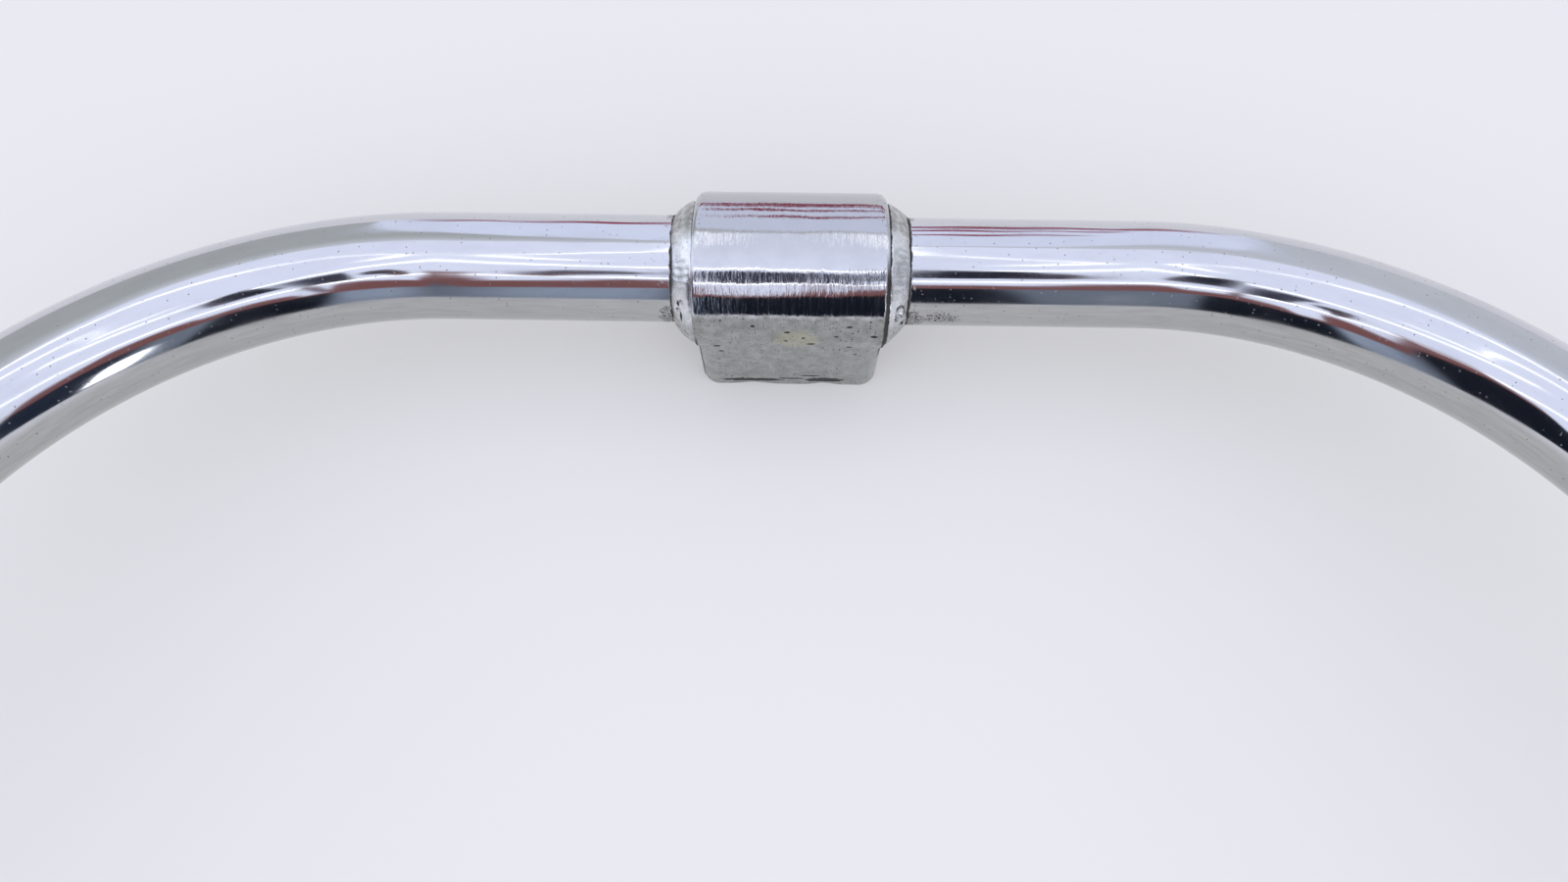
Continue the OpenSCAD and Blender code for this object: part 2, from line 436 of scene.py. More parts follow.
# ---------------------------------------------------------------------------
# Pieces in the tube ends
# ---------------------------------------------------------------------------
def turned_piece(name, station, profile_at, rows, cols, sharp):
    """A closed ring-shaped piece. profile_at(row, angle) gives (distance back, radius)."""
    row_step, mean_r = 0.4, 7.0
    p, t, a, b = station
    grid = []
    for i in range(rows):
        pts = []
        for j in range(cols):
            w = TURN * j / cols
            back, r = profile_at(i, w)
            pts.append(list(p - t * back + a * (r * math.cos(w)) + b * (r * math.sin(w))))
        grid.append(pts)
    uv = [[(i * row_step, mean_r * TURN * j / cols) for j in range(cols + 1)] for i in range(rows + 1)]
    return finish_mesh(grid_object(name, np.array(grid), uv, wrap_rows=True), sharp)


def end_bush(name, station):
    """A bush with a real thread, pressed into the tube just behind its mouth."""
    rows_per_turn, thread_deep = 8, 0.6
    thread_rows = int((BUSH_LEN - 1.0) / BUSH_PITCH * rows_per_turn)
    front, rear = BUSH_RECESS, BUSH_RECESS + BUSH_LEN
    # The rest of the outline after the thread, as distance back and radius
    tail = [(rear - 0.3, BUSH_HOLE_R + 0.1), (rear, BUSH_HOLE_R + 0.5), (rear, BORE_R - 0.6),
            (rear - 0.6, BORE_R), (front + 0.4, BORE_R), (front, BORE_R - 0.4),
            (front, BUSH_HOLE_R + 1.3), (front + 0.2, BUSH_HOLE_R + 0.9)]

    def profile_at(i, w):
        if i >= thread_rows:
            return tail[i - thread_rows]
        back = front + 0.5 + i * BUSH_PITCH / rows_per_turn
        thread = thread_deep * tooth(back, w / TURN, BUSH_PITCH) * smooth_step(rear, rear - 2, back)
        mouth = max(0.0, 1.0 - (back - front)) * 0.8
        return back, BUSH_HOLE_R + max(thread, mouth)

    return turned_piece(name, station, profile_at, thread_rows + len(tail), 64, 35.0)


def end_weld(name, station, seed):
    """A small hollow fillet with ripples, between the bush and the tube's bore."""
    rows, cols = 14, 160

    def profile_at(i, w):
        leg = END_WELD_LEG * (1 + 0.12 * wobble((9 * math.cos(w), 9 * math.sin(w), seed), 2.5, seed))
        if i == rows - 1:
            return BUSH_RECESS, BORE_R
        a = 0.5 * math.pi * i / (rows - 2)
        ripple = math.sin(w * END_WELD_MEAN_R / 0.23 + 2.0 * math.cos(2 * a))
        pull = 1 - 0.42 * math.sin(2 * a) + 0.05 * ripple
        return BUSH_RECESS - leg * math.sin(a) * pull, BORE_R - leg * math.cos(a) * pull

    return turned_piece(name, station, profile_at, rows, cols, 60.0)


# ---------------------------------------------------------------------------
# Materials
# ---------------------------------------------------------------------------
class Paint:
    """Short names for the few shader nodes used here.

    Patterns lie on the piece's UVs, or run right through it when solid. Both are in mm."""

    def __init__(self, name, solid=False):
        self.material = bpy.data.materials.new(name)
        self.material.use_nodes = True
        self.nodes, self.links = self.material.node_tree.nodes, self.material.node_tree.links
        self.shader = self.nodes["Principled BSDF"]
        if solid:
            scale = self.nodes.new("ShaderNodeVectorMath")
            scale.operation = "SCALE"
            scale.inputs["Scale"].default_value = 1 / MM
            self.feed(scale.inputs[0], self.nodes.new("ShaderNodeTexCoord").outputs["Object"])
            self.coords = scale.outputs["Vector"]
        else:
            flat = self.nodes.new("ShaderNodeUVMap")
            flat.uv_map = "UVMap"
            self.coords = flat.outputs["UV"]

    def feed(self, socket, value):
        """Links a socket to another node's output, or sets it to a plain value."""
        if isinstance(value, bpy.types.NodeSocket):
            self.links.new(value, socket)
        elif value is not None:
            socket.default_value = value

    def stretched(self, across, around, shift=0.0):
        """The coordinates, scaled along the piece and round it, and moved by shift."""
        n = self.nodes.new("ShaderNodeMapping")
        self.feed(n.inputs["Vector"], self.coords)
        n.inputs["Scale"].default_value = (across, around, around)
        n.inputs["Location"].default_value = (shift, shift * 0.7, shift)
        return n.outputs["Vector"]

    def noise(self, vector, detail=3.0, rough=0.5):
        """Smooth noise from 0 to 1."""
        n = self.nodes.new("ShaderNodeTexNoise")
        self.feed(n.inputs["Vector"], vector)
        n.inputs["Scale"].default_value = 1.0
        n.inputs["Detail"].default_value = detail
        n.inputs["Roughness"].default_value = rough
        return n.outputs["Fac"]

    def patches(self, scale, shift, low, high, to_low, to_high, detail=3.0, rough=0.5):
        """Noise of the scale (along, round), with its values low to high spread over new ones."""
        noise_here = self.noise(self.stretched(*scale, shift), detail, rough)
        return self.span(noise_here, low, high, to_low, to_high)

    def dots(self, vector, size):
        """1 in scattered round dots, 0 elsewhere. Only some cells have one, of mixed sizes."""
        n = self.nodes.new("ShaderNodeTexVoronoi")
        n.voronoi_dimensions = "2D"
        self.feed(n.inputs["Vector"], vector)
        n.inputs["Scale"].default_value = 1.0
        split = self.nodes.new("ShaderNodeSeparateColor")
        self.feed(split.inputs["Color"], n.outputs["Color"])
        reach = self.span(split.outputs["Red"], 0.72, 1.0, 0.0, size)
        return self.span(self.math("SUBTRACT", reach, n.outputs["Distance"]), 0.0, 0.05, 0.0, 1.0)

    def math(self, kind, a, b=None):
        n = self.nodes.new("ShaderNodeMath")
        n.operation = kind
        self.feed(n.inputs[0], a)
        self.feed(n.inputs[1], b)
        return n.outputs["Value"]

    def times(self, a, b):
        return self.math("MULTIPLY", a, b)

    def plus(self, a, b):
        return self.math("ADD", a, b)

    def span(self, value, low, high, to_low, to_high):
        """Maps low to high smoothly on to new values, and holds them at both ends."""
        n = self.nodes.new("ShaderNodeMapRange")
        n.interpolation_type = "SMOOTHSTEP"
        for socket, v in zip(n.inputs, (value, low, high, to_low, to_high)):
            self.feed(socket, v)
        return n.outputs["Result"]

    def axis(self, index):
        """One coordinate: 0 is along the piece, 1 is round it."""
        n = self.nodes.new("ShaderNodeSeparateXYZ")
        self.feed(n.inputs["Vector"], self.coords)
        return n.outputs[index]

    def mix(self, amount, a, b):
        """Colour a where amount is 0, colour b where it is 1."""
        n = self.nodes.new("ShaderNodeMix")
        n.data_type = "RGBA"
        self.feed(n.inputs["Factor"], amount)
        for socket, v in ((n.inputs[6], a), (n.inputs[7], b)):
            self.feed(socket, v if isinstance(v, bpy.types.NodeSocket) else (*v, 1.0))
        return n.outputs[2]

    def blot(self, at_u, at_v, size_u, size_v, ragged):
        """1 inside a ragged oval mark on the surface, 0 outside."""
        du = self.math("DIVIDE", self.math("SUBTRACT", self.axis(0), at_u), size_u)
        dv = self.math("DIVIDE", self.math("SUBTRACT", self.axis(1), at_v), size_v)
        far = self.plus(self.times(du, du), self.times(dv, dv))
        return self.span(self.plus(far, ragged), 0.75, 1.05, 1.0, 0.0)

    def most(self, *values):
        """The largest of several masks."""
        top = values[0]
        for v in values[1:]:
            top = self.math("MAXIMUM", top, v)
        return top

    def bump(self, height, depth_mm, under=None):
        """A normal from a height pattern, on top of the normal under it."""
        n = self.nodes.new("ShaderNodeBump")
        n.inputs["Strength"].default_value = 1.0
        n.inputs["Distance"].default_value = depth_mm * MM
        self.feed(n.inputs["Height"], height)
        self.feed(n.inputs["Normal"], under)
        return n.outputs["Normal"]

    def set(self, **sockets):
        """Feeds the main shader's sockets by name, and gives the finished material."""
        for name, value in sockets.items():
            self.feed(self.shader.inputs[name.replace("_", " ")], value)
        return self.material

    def metal(self, colour, rough, cover, under_cover, normal):
        """Metal that is hidden where cover is 1: under_cover is how metallic it is there."""
        metallic = self.span(cover, 0.0, 1.0, 1.0, under_cover)
        return self.set(Base_Color=colour, Metallic=metallic, Roughness=rough, Normal=normal)


def tube_chrome(name, shift, grime):
    """shift moves the speckles, so that the two sides aren't mirror images. grime lists dark smudges."""
    m = Paint(name)
    u, v = m.axis(0), m.axis(1)
    smudge = m.noise(m.stretched(0.05, 0.16, shift), 4.0, 0.6)
    lines = m.noise(m.stretched(0.03, 4.5, shift), 2.0)
    ripple = m.noise(m.stretched(0.05, 0.10, 3.0 + shift), 1.0)
    # Specks everywhere, and a pepper of them near the weld
    specks = m.dots(m.stretched(0.62, 0.62, shift), 0.11)
    near = m.span(u, 29.0, 46.0, 1.0, 0.0)
    patchy = m.patches((0.12, 0.15), 12.0 + shift, 0.45, 0.62, 0.0, 1.0, detail=2.0)
    pepper = m.times(m.dots(m.stretched(1.5, 1.5, 5.0 + shift), 0.16), m.times(near, patchy))
    # A black line where the weld ends, partly old dirt and partly painted shade in the crevice, with a few
    # smudges of dirt spreading from it
    creep = m.noise(m.stretched(0.0, 0.42, 5.0 + shift), 5.0, 0.7)
    line = m.plus(u, m.times(creep, -1.5))
    toe = m.span(line, 27.02, 27.22, 1.0, 0.0)
    smear = m.patches((0.55, 0.35), 21.0 + shift, 0.60, 0.70, 0.0, 0.8, 5.0, 0.7)
    smear = m.times(smear, m.span(u, 27.6, 33.0, 1.0, 0.0))
    ragged = m.patches((0.8, 0.8), 17.0 + shift, 0.25, 0.75, -0.9, 0.9, 5.0, 0.75)
    broken = m.patches((1.5, 2.2), 41.0 + shift, 0.47, 0.56, 0.0, 1.0, 5.0, 0.75)
    smudges = [m.times(m.blot(*mark, ragged), broken) for mark in grime]
    # Real dirt and specks, plus the painted crevice shade of the toe line
    dirt_and_shade = m.most(specks, pepper, toe, smear, *smudges)
    # The underside is rougher and painted darker: painted shade for the shaded floor it reflects, with some
    # road film on it
    under = m.math("MAXIMUM", m.span(v, 36.0, 42.0, 1.0, 0.0), m.span(v, 76.6, 79.0, 0.0, 1.0))
    under = m.times(under, m.patches((0.10, 0.9), 7.0 + shift, 0.2, 0.8, 0.65, 1.0, 4.0, 0.6))
    colour = m.mix(m.span(smudge, 0.35, 0.75, 0.0, 1.0), (0.66, 0.665, 0.69), (0.60, 0.605, 0.635))
    colour = m.mix(under, colour, (0.42, 0.418, 0.40))
    colour = m.mix(dirt_and_shade, colour, (0.045, 0.035, 0.028))
    rough = m.plus(m.span(smudge, 0.30, 0.80, 0.06, 0.15), m.times(dirt_and_shade, 0.5))
    rough = m.plus(rough, m.times(under, 0.08))
    normal = m.bump(lines, 0.0014)
    normal = m.bump(ripple, 0.06, normal)
    normal = m.bump(m.math("SUBTRACT", 1.0, dirt_and_shade), 0.03, normal)
    return m.metal(colour, rough, dirt_and_shade, 0.2, normal)


# Dark spots on the worn flank of the boss: place along it, place down it, size, height against width
SPOTS = [(-8.6, -21.5, 0.55, 0.8), (-0.6, -23.6, 0.75, 0.6), (-0.9, -27.6, 0.5, 0.8),
         (5.0, -29.5, 1.0, 0.6), (10.8, -25.2, 0.6, 0.6), (14.2, -31.5, 0.85, 0.5),
         (13.9, -21.4, 0.7, 0.5), (19.8, -25.0, 0.9, 0.7), (-17.3, -31.8, 0.9, 0.6),
         (-16.4, -35.5, 0.7, 0.7), (15.8, -37.0, 0.5, 0.8), (3.2, -26.0, 0.45, 0.9)]

# Long black marks just above the foot, painted shadow of the gap under the worn scallops with grime in it:
# place along it, place down it, half width, half height
FOOT_SHADOW_MARKS = [(-9.5, -58.4, 8.0, 1.4), (9.0, -58.0, 5.0, 1.9), (0.5, -57.0, 4.0, 0.5),
              (5.2, -54.6, 2.6, 0.5)]


def boss_chrome():
    """Plate with brushing marks, spotted and worn on the rider's flank, which is also painted darker as
    shade, and hazy at the back.
    """
    m = Paint("boss chrome")
    u, v = m.axis(0), m.axis(1)
    strokes = m.noise(m.stretched(2.4, 0.16), 3.0, 0.6)
    dabs = m.noise(m.stretched(0.95, 0.30, 3.0), 2.0, 0.6)
    fine = m.noise(m.stretched(9.0, 0.5, 4.0), 2.0)
    patch = m.noise(m.stretched(0.16, 0.2, 2.0), 3.0)
    wave = m.noise(m.stretched(0.10, 0.13, 8.0), 1.0)
    ragged = m.plus(v, m.patches((0.30, 0.2), 11.0, 0.2, 0.8, -0.7, 0.7))
    flank = m.span(ragged, -19.6, -17.6, 1.0, 0.0)
    # The flank on the rider's side is the worn one: pits, dark spots and an old stain
    rough_edge = m.patches((0.9, 0.9), 17.0, 0.25, 0.75, -0.45, 0.45, 4.0, 0.7)
    where = m.patches((0.10, 0.12), 15.0, 0.42, 0.60, 0.0, 1.0, detail=2.0)
    pins = m.times(m.dots(m.stretched(0.75, 0.75, 6.0), 0.22), m.times(flank, where))
    grit = m.times(m.dots(m.stretched(1.5, 1.5, 29.0), 0.26), m.times(flank, 0.85))
    marks = [m.blot(at_u, at_v, size, size * tall, rough_edge) for at_u, at_v, size, tall in SPOTS]
    marks += [m.blot(*mark, rough_edge) for mark in FOOT_SHADOW_MARKS]
    # Dark lines beside the welds and down the left corner of the flank: packed dirt, and painted shade in
    # the crevices and at the corner
    gap = m.noise(m.stretched(0.0, 0.35, 23.0), 5.0, 0.7)
    right_gap = m.times(m.span(m.plus(u, gap), 22.05, 22.45, 0.0, 1.0), m.span(v, -1.0, -9.0, 0.0, 1.0))
    right_gap = m.times(right_gap, m.span(v, -42.0, -46.0, 1.0, 0.0))
    left_gap = m.span(m.math("SUBTRACT", u, gap), -22.5, -22.1, 1.0, 0.0)
    left_gap = m.times(left_gap, m.span(v, -24.0, -30.0, 0.0, 1.0))
    side_on = m.span(m.math("ABSOLUTE", u), 19.2, 21.6, 0.0, 1.0)
    side_on = m.times(side_on, m.span(v, 1.0, 8.0, 0.0, 1.0))
    crumbs = m.times(m.dots(m.stretched(1.3, 1.3, 9.0), 0.30), side_on)
    dirt_and_shade = m.most(pins, grit, right_gap, left_gap, crumbs, *marks)
    stain = m.times(m.blot(1.5, -27.5, 5.5, 4.5, rough_edge), 0.45)
    haze = m.patches((0.14, 0.10), 31.0, 0.3, 0.65, 0.35, 1.0, 4.0, 0.6)
    back = m.times(m.span(v, 26.0, 33.0, 0.0, 0.7), haze)
    # On the rider's flank this darker colour is painted shade, standing for the shaded floor the flank
    # reflects; at the back it is haze
    dull_and_shaded = m.mix(m.patches((0.30, 0.22), 13.0, 0.3, 0.7, 0.0, 1.0, 5.0, 0.65),
                 (0.25, 0.26, 0.24), (0.40, 0.41, 0.395))
    colour = m.mix(m.span(patch, 0.3, 0.7, 0.0, 1.0), (0.66, 0.66, 0.68), (0.60, 0.605, 0.63))
    # Darker from the crest down the rider's side
    colour = m.mix(m.span(v, -8.0, 2.0, 0.0, 0.8), colour, (0.50, 0.50, 0.51))
    colour = m.mix(m.math("MAXIMUM", flank, back), colour, dull_and_shaded)
    colour = m.mix(stain, colour, (0.46, 0.43, 0.28))
    colour = m.mix(dirt_and_shade, colour, (0.035, 0.030, 0.026))
    rough = m.plus(m.span(strokes, 0.35, 0.75, 0.05, 0.16), m.times(flank, 0.14))
    rough = m.plus(rough, m.times(dirt_and_shade, 0.45))
    normal = m.bump(strokes, 0.012)
    normal = m.bump(dabs, 0.035, normal)
    normal = m.bump(fine, 0.0020, normal)
    normal = m.bump(wave, 0.10, normal)
    normal = m.bump(m.math("SUBTRACT", 1.0, dirt_and_shade), 0.06, normal)
    return m.metal(colour, rough, dirt_and_shade, 0.2, normal)


def weld_chrome(name, toe, root, pits=(), ring=None):
    """toe and root say how much of the outer and inner edge is black: old dirt, and painted shade in the
    crevices.

    pits lists dark hollows, and ring one raised ring, each as place and size across and round."""
    m = Paint(name)
    u, v = m.axis(0), m.axis(1)
    blotch = m.noise(m.stretched(0.5, 0.5), 4.0, 0.6)
    grain = m.noise(m.stretched(3.5, 3.5, 2.0), 3.0, 0.6)
    creep = m.times(m.noise(m.stretched(0.0, 0.45, 4.0), 5.0, 0.7), 0.9)
    outer = m.span(m.plus(u, m.times(creep, toe)), 7.15, 7.30, 0.0, 1.0)
    inner = m.span(m.math("SUBTRACT", u, m.times(creep, root)), 0.10, -0.10, 0.0, 1.0)
    specks = m.dots(m.stretched(0.9, 0.9, 3.0), 0.13)
    ragged = m.patches((1.1, 1.1), 17.0, 0.25, 0.75, -0.5, 0.5, 4.0, 0.7)
    dirt_and_shade = m.most(outer, inner, specks, *(m.blot(*pit, ragged) for pit in pits))
    if ring:
        at_u, at_v, size_u, size_v = ring
        edge = m.math("SUBTRACT", m.blot(at_u, at_v, size_u * 1.16, size_v * 1.16, ragged),
                      m.blot(at_u, at_v, size_u * 0.86, size_v * 0.86, ragged))
        dirt_and_shade = m.most(dirt_and_shade, m.span(edge, 0.1, 0.9, 0.0, 0.92))
    # Only the band from the crest towards the rider keeps the bright colour; the rest is painted darker grey
    # as shade, with specks of dirt in it
    weld_shade = m.times(m.span(v, 15.0, 22.0, 0.0, 1.0), m.span(v, 90.5, 95.0, 1.0, 0.0))
    weld_shade = m.times(weld_shade, m.span(blotch, 0.35, 0.65, 0.55, 1.0))
    dirt_and_shade = m.most(dirt_and_shade, m.times(m.dots(m.stretched(1.7, 1.7, 9.0), 0.30), weld_shade))
    colour = m.mix(m.span(blotch, 0.3, 0.7, 0.0, 1.0), (0.84, 0.855, 0.88), (0.66, 0.675, 0.69))
    colour = m.mix(weld_shade, colour, (0.33, 0.33, 0.315))
    colour = m.mix(dirt_and_shade, colour, (0.030, 0.026, 0.022))
    rough = m.plus(m.span(grain, 0.3, 0.7, 0.20, 0.36), m.times(dirt_and_shade, 0.4))
    normal = m.bump(grain, 0.03)
    normal = m.bump(blotch, 0.12, normal)
    return m.metal(colour, rough, dirt_and_shade, 0.2, normal)


def bare_steel(name, solid=False):
    """Turned steel with a bloom of rust. solid is for a piece without UVs."""
    m = Paint(name, solid)
    turned = m.noise(m.stretched(6.0, 0.05), 3.0)
    rust = m.patches((0.6, 0.6), 7.0, 0.56, 0.70, 0.0, 1.0, 5.0, 0.65)
    colour = m.mix(rust, (0.42, 0.42, 0.43), (0.16, 0.085, 0.05))
    rough = m.plus(m.span(turned, 0.3, 0.7, 0.24, 0.38), m.times(rust, 0.4))
    normal = m.bump(turned, 0.01)
    normal = m.bump(rust, 0.03, normal)
    return m.metal(colour, rough, rust, 0.1, normal)


def dress(obj, material):
    """Gives a piece its material."""
    obj.data.materials.clear()
    obj.data.materials.append(material)
    return obj


# ---------------------------------------------------------------------------
# Put the object together
# ---------------------------------------------------------------------------
# Each smudge of grime on a tube: place along it, place round it, size along, size round
GRIME = {
    -1: [(27.6, 53.5, 1.6, 3.5), (28.4, 5.0, 2.4, 5.0)],
    1: [(27.5, 52.8, 1.5, 2.6), (28.6, 4.6, 3.0, 4.0), (35.5, 3.4, 4.5, 2.0)],
}
TUBES = {
    -1: tube_chrome("tube chrome left", 0.0, GRIME[-1]),
    1: tube_chrome("tube chrome right", 37.0, GRIME[1]),
}
BOSS = boss_chrome()
STEEL, DRAWN_STEEL = bare_steel("bare steel"), bare_steel("bare steel solid", solid=True)
LEFT_PITS = ((4.3, 14.4, 0.45, 0.8), (3.4, 17.6, 0.40, 1.6), (2.6, 26.0, 0.6, 0.6))
WELDS = {
    -1: weld_chrome("weld chrome left", 0.7, 0.35, LEFT_PITS),
    1: weld_chrome("weld chrome right", 1.2, 1.1, ((4.9, 20.5, 0.5, 0.7),), ring=(3.6, 16.2, 1.5, 2.1)),
}
END_WELD = weld_chrome("weld chrome ends", 0.3, 0.3)
CROWN = {-1: 0.55, 1: 0.30}
# Each fault: angle from the top towards the rider, place across the bead, size, depth, raised rim
FAULTS = {
    -1: [(50, 0.45, 0.8, 0.5, 0.0), (60, 0.62, 1.0, 0.55, 0.05), (90, 0.70, 0.6, 0.6, 0.0)],
    1: [(61, 0.50, 1.5, 0.55, 0.30), (20, 0.4, 0.9, 0.15, 0.0)],
}

boss = centre_boss()
boss.name = boss.data.name = "boss_body"
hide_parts("centre_boss")
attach(dress(boss, BOSS), "root")

for side, word in ((-1, "left"), (1, "right")):
    tube, line = bar_tube(word + "_tube_body", side)
    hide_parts(word + "_bar_tube")
    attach(dress(tube, TUBES[side]), "root")

    bead = weld_bead(word + "_weld_body", side, CROWN[side], FAULTS[side])
    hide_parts(word + "_weld_bead")
    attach(dress(bead, WELDS[side]), "root")

    bush = end_bush(word + "_bush_body", line[-1])
    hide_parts(word + "_end_bush")
    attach(dress(bush, STEEL), "root")

    seam = end_weld(word + "_end_weld_body", line[-1], 2.0 + side)
    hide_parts(word + "_end_weld")
    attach(dress(seam, END_WELD), "root")

# The spigot keeps its CAD shape, hidden in the tube ends
dress(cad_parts["centre_spigot"], DRAWN_STEEL)


# ---------------------------------------------------------------------------
# Studio: pale floor, soft overhead light, and cards that the chrome can see
# ---------------------------------------------------------------------------
def set_ramp(ramp, stops):
    """Gives a colour ramp its stops, each a place from 0 to 1 and a colour."""
    elements = ramp.color_ramp.elements
    while len(elements) < len(stops):
        elements.new(0.5)
    for element, (at, tint) in zip(elements, stops):
        element.position, element.color = at, (*tint, 1.0)


def card_shader(m, colour, fade, stops):
    """Makes m a glow of one colour or of stops along the card, soft at its edges by fade."""
    glow = m.nodes.new("ShaderNodeEmission")
    if stops:
        ramp = m.nodes.new("ShaderNodeValToRGB")
        m.feed(ramp.inputs["Fac"], m.axis(0))
        set_ramp(ramp, stops)
        m.feed(glow.inputs["Color"], ramp.outputs["Color"])
    else:
        peak = max(colour)
        glow.inputs["Color"].default_value = (*(c / peak for c in colour), 1.0)
        glow.inputs["Strength"].default_value = peak
    result = glow.outputs["Emission"]
    seen = None
    for index, width in enumerate(fade):
        if width > 0:
            way = m.axis(index)
            edge = m.times(m.span(way, 0.0, width, 0.0, 1.0), m.span(way, 1.0 - width, 1.0, 1.0, 0.0))
            seen = edge if seen is None else m.times(seen, edge)
    if seen is not None:
        blend = m.nodes.new("ShaderNodeMixShader")
        m.feed(blend.inputs[0], seen)
        m.feed(blend.inputs[1], m.nodes.new("ShaderNodeBsdfTransparent").outputs["BSDF"])
        m.feed(blend.inputs[2], result)
        result = blend.outputs["Shader"]
    m.feed(m.nodes["Material Output"].inputs["Surface"], result)
    m.nodes.remove(m.shader)


def card(name, low, high, colour, fade=(0.0, 0.0), stops=None, lights_scene=False):
    """A glowing strip between two lines of points, seen only in reflections unless it lights the scene.

    fade is how much of its length and of its width goes soft at each edge. stops gives its
    colour along its length instead of one colour."""
    count = len(low)
    mesh = bpy.data.meshes.new(name)
    mesh.from_pydata([tuple(c * MM for c in p) for p in low + high], [],
                     [(i, i + 1, count + i + 1, count + i) for i in range(count - 1)])
    reach = [0.0]
    for p, q in zip(low, low[1:]):
        reach.append(reach[-1] + math.dist(p, q))
    share = [r / reach[-1] for r in reach]
    layer = mesh.uv_layers.new(name="UVMap")
    for i in range(count - 1):
        for k, uv in enumerate(((share[i], 0), (share[i + 1], 0), (share[i + 1], 1), (share[i], 1))):
            layer.data[4 * i + k].uv = uv
    m = Paint(name)
    card_shader(m, colour, fade, stops)
    mesh.materials.append(m.material)
    obj = add_object(name, mesh)
    obj.visible_camera = False
    obj.visible_shadow = False
    obj.visible_diffuse = lights_scene
    return obj


def level(points, z):
    """The (x, y) points at one height."""
    return [(x, y, z) for x, y in points]


def ring_light(name, radius, width, glow, z, half_angle):
    """Part of a ring overhead, its middle towards the rider."""
    turns = [math.radians(t) for t in np.linspace(-half_angle, half_angle, 41)]
    edges = [level([(r * math.sin(t), -r * math.cos(t)) for t in turns], z)
             for r in (radius - width / 2, radius + width / 2)]
    return card(name, *edges, (glow, glow, glow), (0.08, 0.45))


def upright(name, y, foot, tops, colour, fade=(0.0, 0.0), stops=None):
    """A panel standing across the bar. tops lists (x, height)."""
    return card(name, [(x, y, foot) for x, _ in tops], [(x, y, z) for x, z in tops], colour, fade, stops)


FLOOR = 12                     # metres from the middle to each side
floor = add_object("floor", bpy.data.meshes.new("floor"))
floor.data.from_pydata([(-FLOOR, -FLOOR, 0), (FLOOR, -FLOOR, 0), (FLOOR, FLOOR, 0), (-FLOOR, FLOOR, 0)],
                       [], [(0, 1, 2, 3)])
pale = Paint("floor")
pale.set(Base_Color=(0.735, 0.705, 0.655, 1.0), Roughness=0.9, Specular_IOR_Level=0.1,
         Emission_Color=(0.17, 0.17, 0.17, 1.0), Emission_Strength=1.0)
floor.data.materials.append(pale.material)

# Overhead: one soft light, and brighter rings and bows that make the chrome's fine highlights
LAVENDER = (1.00, 1.06, 1.28)
SOFTBOX_Z, BOW_Z = 1500, 1420
card("overhead_softbox", level([(-2600, -2600), (2600, -2600)], SOFTBOX_Z),
     level([(-2600, 940), (2600, 940)], SOFTBOX_Z), LAVENDER, lights_scene=True)
ring_light("ring_light_wide", 1300, 110, 3.2, 1440, 105)
ring_light("ring_light_middle", 560, 60, 3.2, 1430, 115)
BOW = [(220, -230), (330, -110), (400, 30), (290, 160), (150, 360), (120, 700), (150, 1000)]
for side, word in ((-1, "left"), (1, "right")):
    card("bow_light_" + word, level([(side * x, y) for x, y in BOW], BOW_Z),
         level([(side * (x + 45), y - 15) for x, y in BOW], BOW_Z), (3.0, 3.0, 3.0), (0.1, 0.45))

# Beyond the bar: a pale panel in front of a grey wall, with red lines before it
card("left_window", [(-1500, 900, 40), (-1500, -250, 40)], [(-1500, 900, 900), (-1500, -250, 900)],
     (1.25, 1.32, 1.50), (0.1, 0.15))
RED = (0.30, 0.020, 0.055)
RED_Y = 600
# Each red line: height, thickness, first and last x
RED_LINES = ((50, 124, -300, 345), (100, 62, -120, 310), (195, 96, -80, 250), (365, 100, -60, 235))
for z, tall, first, last in RED_LINES:
    xs = np.linspace(first, last, 61)
    wave = [z * math.cos(x / 330) + 0.12 * tall * math.sin(x / 11 + z) for x in xs]
    half = [0.5 * tall * (0.72 + 0.28 * math.sin(x / 23 + 0.4 * z)) for x in xs]
    card(f"red_line_{z}", [(x, RED_Y, w - h) for x, w, h in zip(xs, wave, half)],
         [(x, RED_Y, w + h) for x, w, h in zip(xs, wave, half)], RED, (0.12, 0.35))
card("far_wall", [(-2600, 900, -1400), (2600, 900, -1400)], [(-2600, 900, 1480), (2600, 900, 1480)],
     None, (0.0, 0.22), [(0.0, (0.485, 0.50, 0.50)), (0.45, (0.51, 0.54, 0.555)),
                         (0.58, (0.66, 0.69, 0.76)), (1.0, (0.80, 0.82, 0.88))])
PANEL_TOPS = [(-318, 60), (-312, 490), (-258, 645), (-150, 780), (0, 870), (155, 920), (285, 895),
              (340, 655), (352, 330), (365, 60)]
upright("front_panel", 620, 4, PANEL_TOPS, (0.90, 0.97, 1.20))

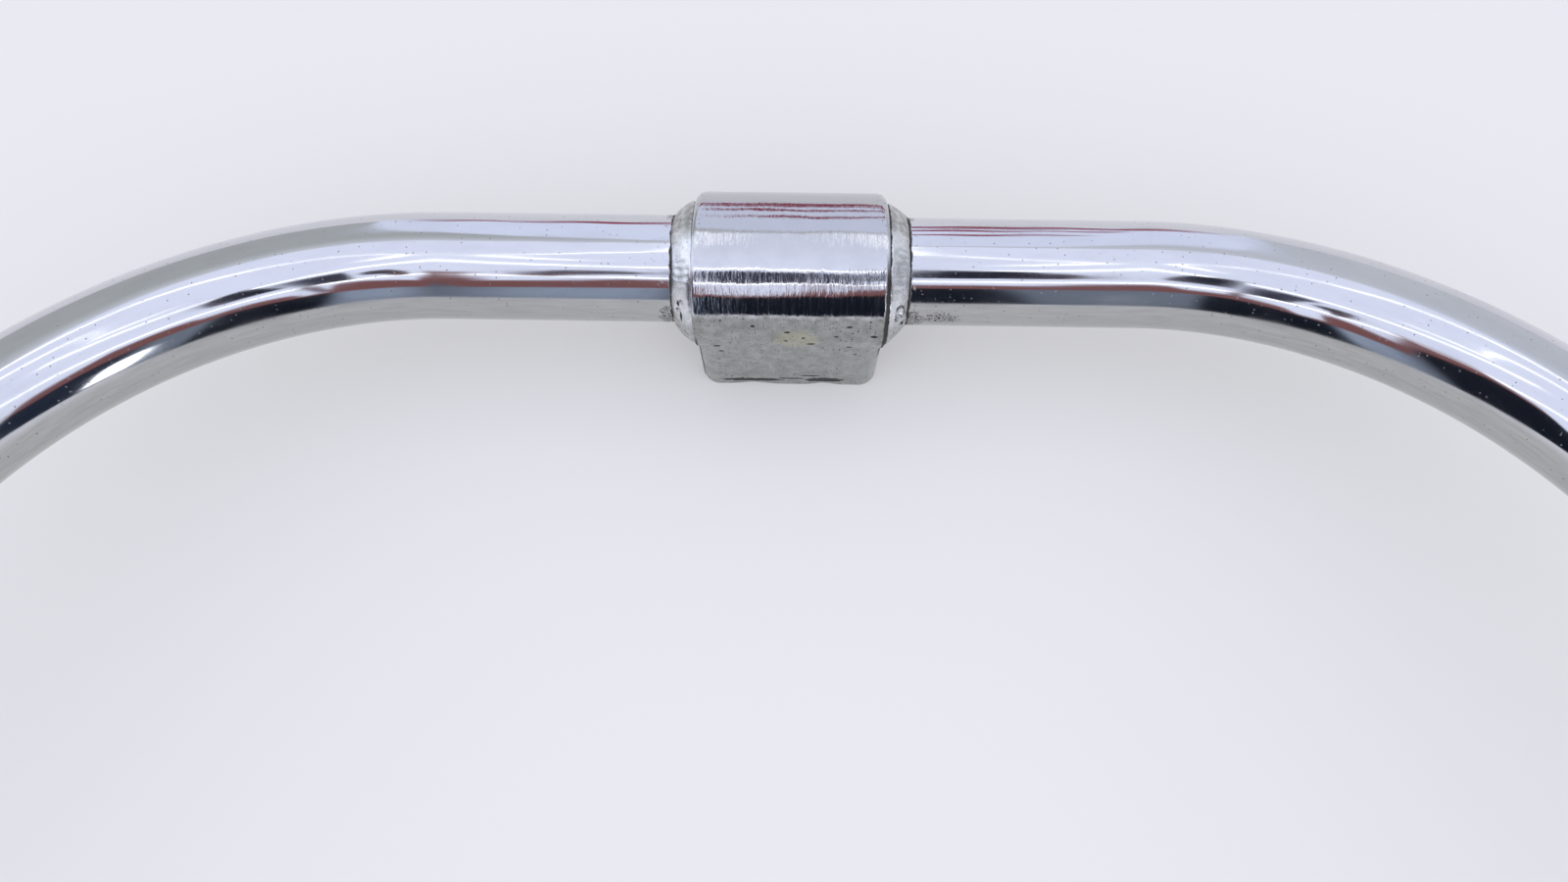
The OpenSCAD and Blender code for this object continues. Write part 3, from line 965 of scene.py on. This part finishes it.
# On the rider's side: dark clothes, a brown collar over them and a small flash
NIGHT, DUSK, SLATE = (0.008, 0.011, 0.020), (0.19, 0.22, 0.28), (0.34, 0.40, 0.52)
MAROON = (0.24, 0.105, 0.105)
RIDER_END = 1500               # the rider's panel runs this far to each side
rider_tops = [(-RIDER_END, 1200), (-800, 960), (-330, 560), (-262, 390), (-225, 255), (0, 325), (100, 380),
              (250, 392), (650, 520), (900, 565), (RIDER_END, 800)]
collar_tops = [(-RIDER_END, 1520), (-800, 1280), (-330, 900), (-262, 600), (-235, 480), (-176, 540),
               (-140, 590), (-100, 600), (-76, 560), (-64, 370), (-20, 360), (10, 460), (100, 530),
               (200, 545), (260, 640), (650, 860), (900, 915), (RIDER_END, 1150)]
rider_colours = [(-RIDER_END, NIGHT), (-300, NIGHT), (-225, DUSK), (-170, SLATE), (-92, SLATE), (-66, NIGHT),
                 (140, NIGHT), (166, DUSK), (290, DUSK), (400, (0.02, 0.028, 0.05)),
                 (RIDER_END, (0.012, 0.02, 0.04))]
rider_stops = [((x + RIDER_END) / (2 * RIDER_END), tint) for x, tint in rider_colours]
upright("rider_collar", -530, 160, collar_tops, MAROON, (0.02, 0.22))
upright("rider", -520, 4, rider_tops, None, (0.0, 0.05), rider_stops)
upright("flash", -515, 30, [(255, 250), (285, 285), (370, 290), (415, 260)], (6.0, 6.2, 6.6), (0.25, 0.25))

# Above the rider, close under the soft light: a phone, a shoulder and two arms
ARMS_Z, SHOULDER_Z = 1400, 1398
card("phone", level([(-179, -1264), (125, -1264)], ARMS_Z), level([(-179, -604), (125, -604)], ARMS_Z),
     None, (0.10, 0.12), [(0.0, (0.035, 0.035, 0.06)), (0.6, (0.05, 0.05, 0.08)), (1.0, (0.22, 0.22, 0.30))])
card("shoulder", level([(46, -2300), (46, -1200)], SHOULDER_Z),
     level([(165, -2300), (165, -1200)], SHOULDER_Z), (0.17, 0.095, 0.12), (0.06, 0.2))
card("left_arm", level([(-190, -800), (-270, -700), (-350, -680), (-430, -860), (-490, -1180)], ARMS_Z),
     level([(-200, -960), (-290, -1010), (-330, -1050), (-365, -1150), (-400, -1260)], ARMS_Z),
     None, (0.10, 0.22),
     [(0.0, (0.07, 0.06, 0.085)), (0.4, (0.10, 0.07, 0.09)), (1.0, (0.19, 0.105, 0.115))])
card("right_arm", level([(135, -440), (230, -430), (330, -450), (400, -570), (470, -800)], ARMS_Z),
     level([(135, -1020), (230, -1000), (330, -980), (400, -950), (470, -880)], ARMS_Z),
     None, (0.06, 0.12), [(0.0, (0.012, 0.015, 0.03)), (0.4, (0.03, 0.03, 0.05)), (1.0, (0.15, 0.09, 0.11))])

world = bpy.data.worlds.new("studio")
world.use_nodes = True
sky = world.node_tree.nodes
coords, height = sky.new("ShaderNodeTexCoord"), sky.new("ShaderNodeSeparateXYZ")
ramp = sky.new("ShaderNodeValToRGB")
set_ramp(ramp, ((0.02, (0.34, 0.355, 0.385)), (0.45, (0.74, 0.77, 0.85))))
world.node_tree.links.new(coords.outputs["Generated"], height.inputs["Vector"])
world.node_tree.links.new(height.outputs["Z"], ramp.inputs["Fac"])
world.node_tree.links.new(ramp.outputs["Color"], sky["Background"].inputs["Color"])
bpy.context.scene.world = world


# ---------------------------------------------------------------------------
# Camera, from the shape of the bar in the picture
# ---------------------------------------------------------------------------
def turn_pair(first, second, degrees):
    """Two directions at right angles, the first turned towards the second and the second with it."""
    a = math.radians(degrees)
    return first * math.cos(a) + second * math.sin(a), second * math.cos(a) - first * math.sin(a)


CAMERA_AT = (0.0005, -0.1111, 0.3036)                  # metres
CAMERA_TILT, CAMERA_YAW, CAMERA_ROLL = 14.3, -0.3, 0.80
tilt = math.radians(CAMERA_TILT)
right = Vector((1, 0, 0))
up = Vector((0, math.cos(tilt), math.sin(tilt)))
back = Vector((0, -math.sin(tilt), math.cos(tilt)))
right, back = turn_pair(right, back, CAMERA_YAW)
right, up = turn_pair(right, up, CAMERA_ROLL)
camera = add_object("camera", bpy.data.cameras.new("camera"))
camera.matrix_world = Matrix.Translation(CAMERA_AT) @ Matrix((right, up, back)).transposed().to_4x4()
camera.data.sensor_width = 36.0
camera.data.lens = 27.675
camera.data.clip_start = 0.01
bpy.context.scene.camera = camera
bpy.context.scene.view_settings.view_transform = "Standard"
